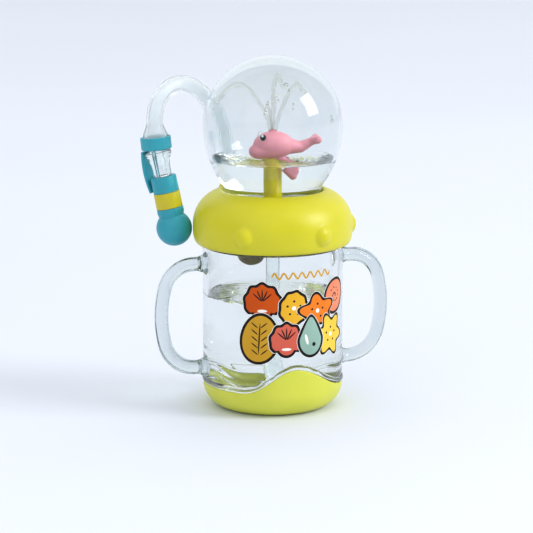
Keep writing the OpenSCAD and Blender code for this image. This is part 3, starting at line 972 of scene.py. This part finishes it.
def patch(name, s, z, outline, grow, lift, rings=12, spokes=72):
    """A thin closed patch of ink that grows past its outline. Its small facets keep it clear of the
    layers under it on the round wall."""
    verts, faces = [], []
    for height in (lift, lift - INK):
        for ring in range(1, rings + 1):
            for k in range(spokes):
                a = 2 * pi * k / spokes
                x, y = outline(a)
                far = sqrt(x * x + y * y)
                share = ring / rings * (far + grow) / far
                edge = INK * 0.4 if ring == rings and height == lift else 0
                verts.append(on_wall(s + x * share, z + y * share, height - edge))
        verts.append(on_wall(s, z, height))
    layer = rings * spokes + 1
    for side in range(2):
        first = side * layer
        for k in range(spokes):
            after = (k + 1) % spokes
            faces.append([first + k, first + after, first + layer - 1])
            for ring in range(rings - 1):
                a, b = first + ring * spokes, first + (ring + 1) * spokes
                faces.append([a + k, b + k, b + after, a + after])
    rim = (rings - 1) * spokes
    for k in range(spokes):
        after = (k + 1) % spokes
        faces.append([rim + k, layer + rim + k, layer + rim + after, rim + after])
    return mesh_piece(name, verts, faces, 30)


def fitted(w, h, at):
    """Outline at scaled to fill a box w by h about its centre."""
    xs, ys = zip(*[at(2 * pi * k / 144) for k in range(144)])
    wide, tall = max(xs) - min(xs), max(ys) - min(ys)
    mid_x, mid_y = (max(xs) + min(xs)) / 2, (max(ys) + min(ys)) / 2
    return lambda a: ((at(a)[0] - mid_x) * w / wide, (at(a)[1] - mid_y) * h / tall)


def shell_shape(a):
    """Scallop shell: a fan with a wavy edge above a narrow hinge."""
    up = max(0, sin(a) + 0.5) / 1.5
    fan = 0.5 + 0.5 * up ** 0.4 + 0.05 * cos(11 * (a - pi / 2)) * up
    return (fan * cos(a), fan * sin(a))


def star_shape(arms, turn):
    """Plump starfish."""
    def at(a):
        far = 0.66 + 0.34 * (0.5 + 0.5 * cos(arms * (a - pi / 2 - turn))) ** 1.1
        return (far * cos(a), far * sin(a))
    return at


def pebble_shape(pinch, lean, bumps=0, depth=0):
    """Pebble or leaf that narrows towards its top, with an even or a scalloped edge."""
    def at(a):
        far = 1 + depth * cos(bumps * a)
        y = sin(a)
        return (far * (cos(a) * (1 - pinch * (y + 1) / 2) + lean * y), far * y)
    return at


def drop_shape(a):
    """Water drop with its tip up."""
    x, y = cos(a), sin(a)
    if y > 0:
        x = (1 if x >= 0 else -1) * min(abs(x), (1 - y) ** 0.7 + 0.05)
    return (x, y * (1.3 if y > 0 else 0.85))


PRINTS = [
    # place round the wall, height, shape, ink, kind of marks, and how many shapes it lies over
    (-18, 64.0, fitted(19, 18.5, shell_shape), "rust", "ribs", 0),
    (27.2, 63.4, fitted(17.5, 17.5, pebble_shape(-0.1, 0.1)), "salmon", "spiral", 0),
    (-1.2, 60, fitted(15, 17.5, pebble_shape(0.08, 0.05, 9, 0.035)), "mustard", "dots", 1),
    (12.8, 57.4, fitted(22.5, 18.5, star_shape(5, 0.15)), "orange", "dots", 2),
    (-19.6, 43.9, fitted(19.5, 25.5, pebble_shape(0.16, 0.08)), "ochre", "leaf", 1),
    (-5.2, 43.4, fitted(17, 17.5, shell_shape), "coral", "ribs", 2),
    (22.8, 43.4, fitted(22, 21.5, star_shape(6, 0.4)), "yellow", "dots", 3),
    (8.6, 44.4, fitted(14, 21, drop_shape), "sage", "shine", 4),
]


def marks_for(kind, s, z, lift):
    """The small ovals inside one printed shape, each with the name of its ink."""
    found = []

    def mark(ds, dz, w, h, name, turn=0):
        def oval(a):
            x, y = w / 2 * cos(a), h / 2 * sin(a)
            return (x * cos(turn) - y * sin(turn), x * sin(turn) + y * cos(turn))
        found.append((patch("mark", s + ds, z + dz, oval, 0, lift, 3 if h > 3 else 2, 20), name))

    if kind == "ribs":
        for k in range(-2, 3):
            a = k * 0.42
            mark(3.6 * sin(a), 3.6 * cos(a) - 0.4, 0.75, 6.2, "outline", -a)
        mark(0, -5.2, 5.2, 1.5, "highlight")
    if kind == "dots":
        for k in range(5):
            a = k * 2 * pi / 5 + 0.3
            mark(3.7 * cos(a), 3.7 * sin(a), 1.25, 1.25, "outline")
        mark(0, 0, 2.3, 2.3, "highlight")
    if kind == "shine":
        mark(-2.6, -1.6, 1.6, 6, "highlight", 0.25)
        mark(1.8, -4.6, 2.2, 2.2, "outline")
    if kind == "leaf":
        mark(0, 0, 0.8, 17, "outline", -0.06)
        for k in range(-2, 3):
            for side in (-1, 1):
                mark(side * 2.5, 3.6 * k, 0.7, 4.6, "outline", -side * 0.9)
    if kind == "spiral":
        for k in range(15):
            a, far = 0.62 * k, 0.7 + 0.38 * k
            mark(far * cos(a) * 0.8, far * sin(a) * 0.8, 1, 1, "outline")
    return found


INKS = {
    "border": ((248, 248, 246), (240, 240, 238)),
    "outline": ((22, 20, 20), (14, 12, 12)),
    "highlight": ((250, 246, 236), (244, 238, 226)),
    "rust": ((204, 82, 10), (192, 70, 8)),
    "mustard": ((232, 176, 44), (222, 164, 34)),
    "orange": ((236, 126, 30), (226, 112, 22)),
    "salmon": ((236, 140, 104), (226, 126, 90)),
    "ochre": ((208, 158, 42), (190, 140, 30)),
    "coral": ((216, 102, 82), (202, 88, 70)),
    "sage": ((150, 182, 168), (136, 168, 156)),
    "yellow": ((240, 202, 72), (230, 188, 56)),
}


def wave_line():
    """A row of small wave crests above the printed shapes."""
    left, right, z, height, crests, lift = -12.8, 21.7, 77.2, 1.5, 7, 0.03
    steps = 20 * crests
    route = []
    for i in range(steps + 1):
        t = i / steps
        route.append(on_wall(left + (right - left) * t, z + height * sin(2 * pi * t * crests), lift))
    line = sweep("line", route, lambda t: 0.5, 10)
    # Pressed flat onto the wall
    for v in line.data.vertices:
        r = sqrt(v.co.x ** 2 + v.co.y ** 2)
        flat = (CUP_R + lift + (r / MM - CUP_R - lift) * 0.15) * MM / r
        v.co.x *= flat
        v.co.y *= flat
    return line


def make_print():
    """Sea shapes on the cup's front: white border, dark outline, colour and small marks."""
    layers = defaultdict(list)
    for s, z, shape, fill, kind, over in PRINTS:
        lift = 0.02 + 4 * LAYER * over
        for k, (name, grow) in enumerate((("border", 1.4), ("outline", 1.15), (fill, -0.4))):
            layers[name].append(patch(name, s, z, shape, grow, lift + k * LAYER))
        for mark, name in marks_for(kind, s, z, lift + 3 * LAYER):
            layers[name].append(mark)
    layers["ochre"].append(wave_line())
    pieces = []
    for name, parts in layers.items():
        pieces.append(merged("print_" + name, parts, 30))
        pieces[-1].data.materials.append(ink(name))
    return pieces


# ------ stage


def make_floor():
    half = 12
    mesh = bpy.data.meshes.new("studio_floor")
    corners = [(-half, -half, 0), (half, -half, 0), (half, half, 0), (-half, half, 0)]
    mesh.from_pydata(corners, [], [(0, 1, 2, 3)])
    floor = added("studio_floor", mesh)
    material, nodes, links, shader = new_material("studio_paper")
    mottled(nodes, links, shader, noise(nodes, links, 1.2, 2), (218, 223, 234), (222, 227, 237))
    set_inputs(shader, {"Roughness": 0.75})
    floor.data.materials.append(material)


def view_axes():
    """Right, back and up directions of the camera."""
    azimuth, elevation = radians(-19), radians(11.3)
    right = Vector((cos(azimuth), sin(azimuth), 0))
    back = Vector((sin(azimuth) * cos(elevation), -cos(azimuth) * cos(elevation), sin(elevation)))
    return right, back, back.cross(right)


def make_camera():
    right, back, _ = view_axes()
    data = bpy.data.cameras.new("camera")
    data.sensor_width = 36
    data.lens = 151.3
    camera = added("camera", data)
    target = Vector((0, 0, 0.0751)) - right * 0.0033
    camera.location = target + back * 1.2
    camera.rotation_euler = back.to_track_quat("Z", "Y").to_euler()
    bpy.context.scene.camera = camera


def area_light(name, towards, size, power, colour=(1, 1, 1)):
    """Soft box, 3 m away in a direction given as (right, up, back) of the view."""
    right, back, up = view_axes()
    way = (right * towards[0] + up * towards[1] + back * towards[2]).normalized()
    data = bpy.data.lights.new(name, "AREA")
    data.shape = "RECTANGLE"
    data.size, data.size_y = size
    data.energy = power
    data.color = colour
    light = added(name, data)
    light.location = Vector((0, 0, 0.1)) + way * 3
    light.rotation_euler = way.to_track_quat("Z", "Y").to_euler()


def make_world():
    """Pale room, bright overhead and behind the object and dim elsewhere, so that clear walls get
    darker edges and mirror little."""
    world = bpy.data.worlds.new("studio")
    bpy.context.scene.world = world
    world.use_nodes = True
    nodes, links = world.node_tree.nodes, world.node_tree.links
    sky = nodes["Background"]
    place = nodes.new("ShaderNodeTexCoord")
    split = nodes.new("ShaderNodeSeparateXYZ")
    links.new(place.outputs["Generated"], split.inputs["Vector"])
    right, back, _ = view_axes()
    bright_side = (right * 0.05 - Vector((back.x, back.y, 0))).normalized()
    across = nodes.new("ShaderNodeVectorMath")
    across.operation = "DOT_PRODUCT"
    across.inputs[1].default_value = bright_side
    links.new(place.outputs["Generated"], across.inputs[0])
    side = ranged(nodes, links, across.outputs["Value"], 0, 1, -0.1, 0.8)
    horizon = mixed_colour(nodes, links, side, (0.3, 0.36, 0.41, 1), (0.93, 0.99, 1.07, 1))
    overhead = mixed_colour(nodes, links, ranged(nodes, links, split.outputs["Z"], 0, 1, 0.15, 0.7),
                            (0, 0, 0, 1), (1.1, 1.1, 1.1, 1))
    links.new(horizon, overhead.node.inputs["A"])
    links.new(overhead, sky.inputs["Color"])


def make_studio():
    make_camera()
    make_floor()
    make_world()
    area_light("key", (0.84, 0.44, 0.32), (1.1, 1.5), 52)
    area_light("fill", (-0.4, 0.1, 0.9), (2.6, 2.6), 14, (0.97, 0.98, 1))
    bpy.context.scene.view_settings.view_transform = "Standard"
    cycles = bpy.context.scene.cycles
    cycles.max_bounces = cycles.transmission_bounces = 28
    cycles.transparent_max_bounces = 32
    cycles.diffuse_bounces = 4
    cycles.glossy_bounces = 10
    cycles.caustics_reflective = cycles.caustics_refractive = True


# ------ assembly


def slot_of(node):
    """Name of the material slot that the CAD gives a node."""
    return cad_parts[node].data.materials[0].name.split(".")[0]


def finished(piece, material, body, node=None):
    """Gives piece its material and its body, and hides the CAD node that it stands for."""
    piece.data.materials.clear()
    piece.data.materials.append(material)
    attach(piece, body)
    if node:
        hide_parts(node)
        slot_of(node)


def carry_over(materials):
    """The CAD nodes keep their shape and take the finish that their slot names."""
    for node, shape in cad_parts.items():
        shape.data.materials[0] = materials[slot_of(node)]


def build():
    materials = make_materials()
    make_studio()
    carry_over(materials)
    # Piece, its material, its body and the CAD node that it stands for
    pieces = [
        (make_cup(), "clear_copolyester", "cup", "cup_body"),
        (make_handle("handle_right_bar", 1), "clear_handle", "cup", "handle_right"),
        (make_handle("handle_left_bar", -1), "clear_handle", "cup", "handle_left"),
        (make_boot(), "lime_silicone", "cup", "base_boot"),
        (make_collar(), "lime_plastic", "lid", "lid_collar"),
        (make_post(), "lime_gloss", "lid", "fountain_post"),
        (make_whale(), "pink_plastic", "lid", "whale_body"),
        (make_eyes(), "eye_white", "lid", "whale_eyes"),
        # The vent's olive colour is painted shade on yellow-green plastic.
        (make_vent(), "olive_plastic", "lid", "vent_housing"),
        (make_dip_tube(), "clear_fitting", "lid", "dip_tube"),
        (make_dome(), "clear_dome", "dome", "dome"),
        (make_straw(), "clear_silicone", "straw", "straw_tube"),
        (make_mouthpiece(), "clear_fitting", "straw", "mouthpiece"),
        (make_ring(), "teal_silicone", "straw", "cap_ring"),
        (make_cap(), "teal_silicone", "cap", "cap_body"),
        (make_band(), "yellow_silicone", "cap", "cap_band"),
    ]
    for piece, material, body, node in pieces:
        finished(piece, materials[material], body, node)
        if node == "whale_eyes":
            paint_pupils(piece, materials["eye_plastic"])

    strap = make_strap()
    strap.data.materials.append(materials["teal_silicone"])
    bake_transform(strap)
    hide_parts("cap_strap")

    finished(make_cup_water(), materials["water"], "cup")
    for water, material in ((make_pool(), "water"), (make_spray(), "spray")):
        finished(water, materials[material], "lid")
        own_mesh(water)
    for piece in make_print():
        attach(piece, "cup")


build()
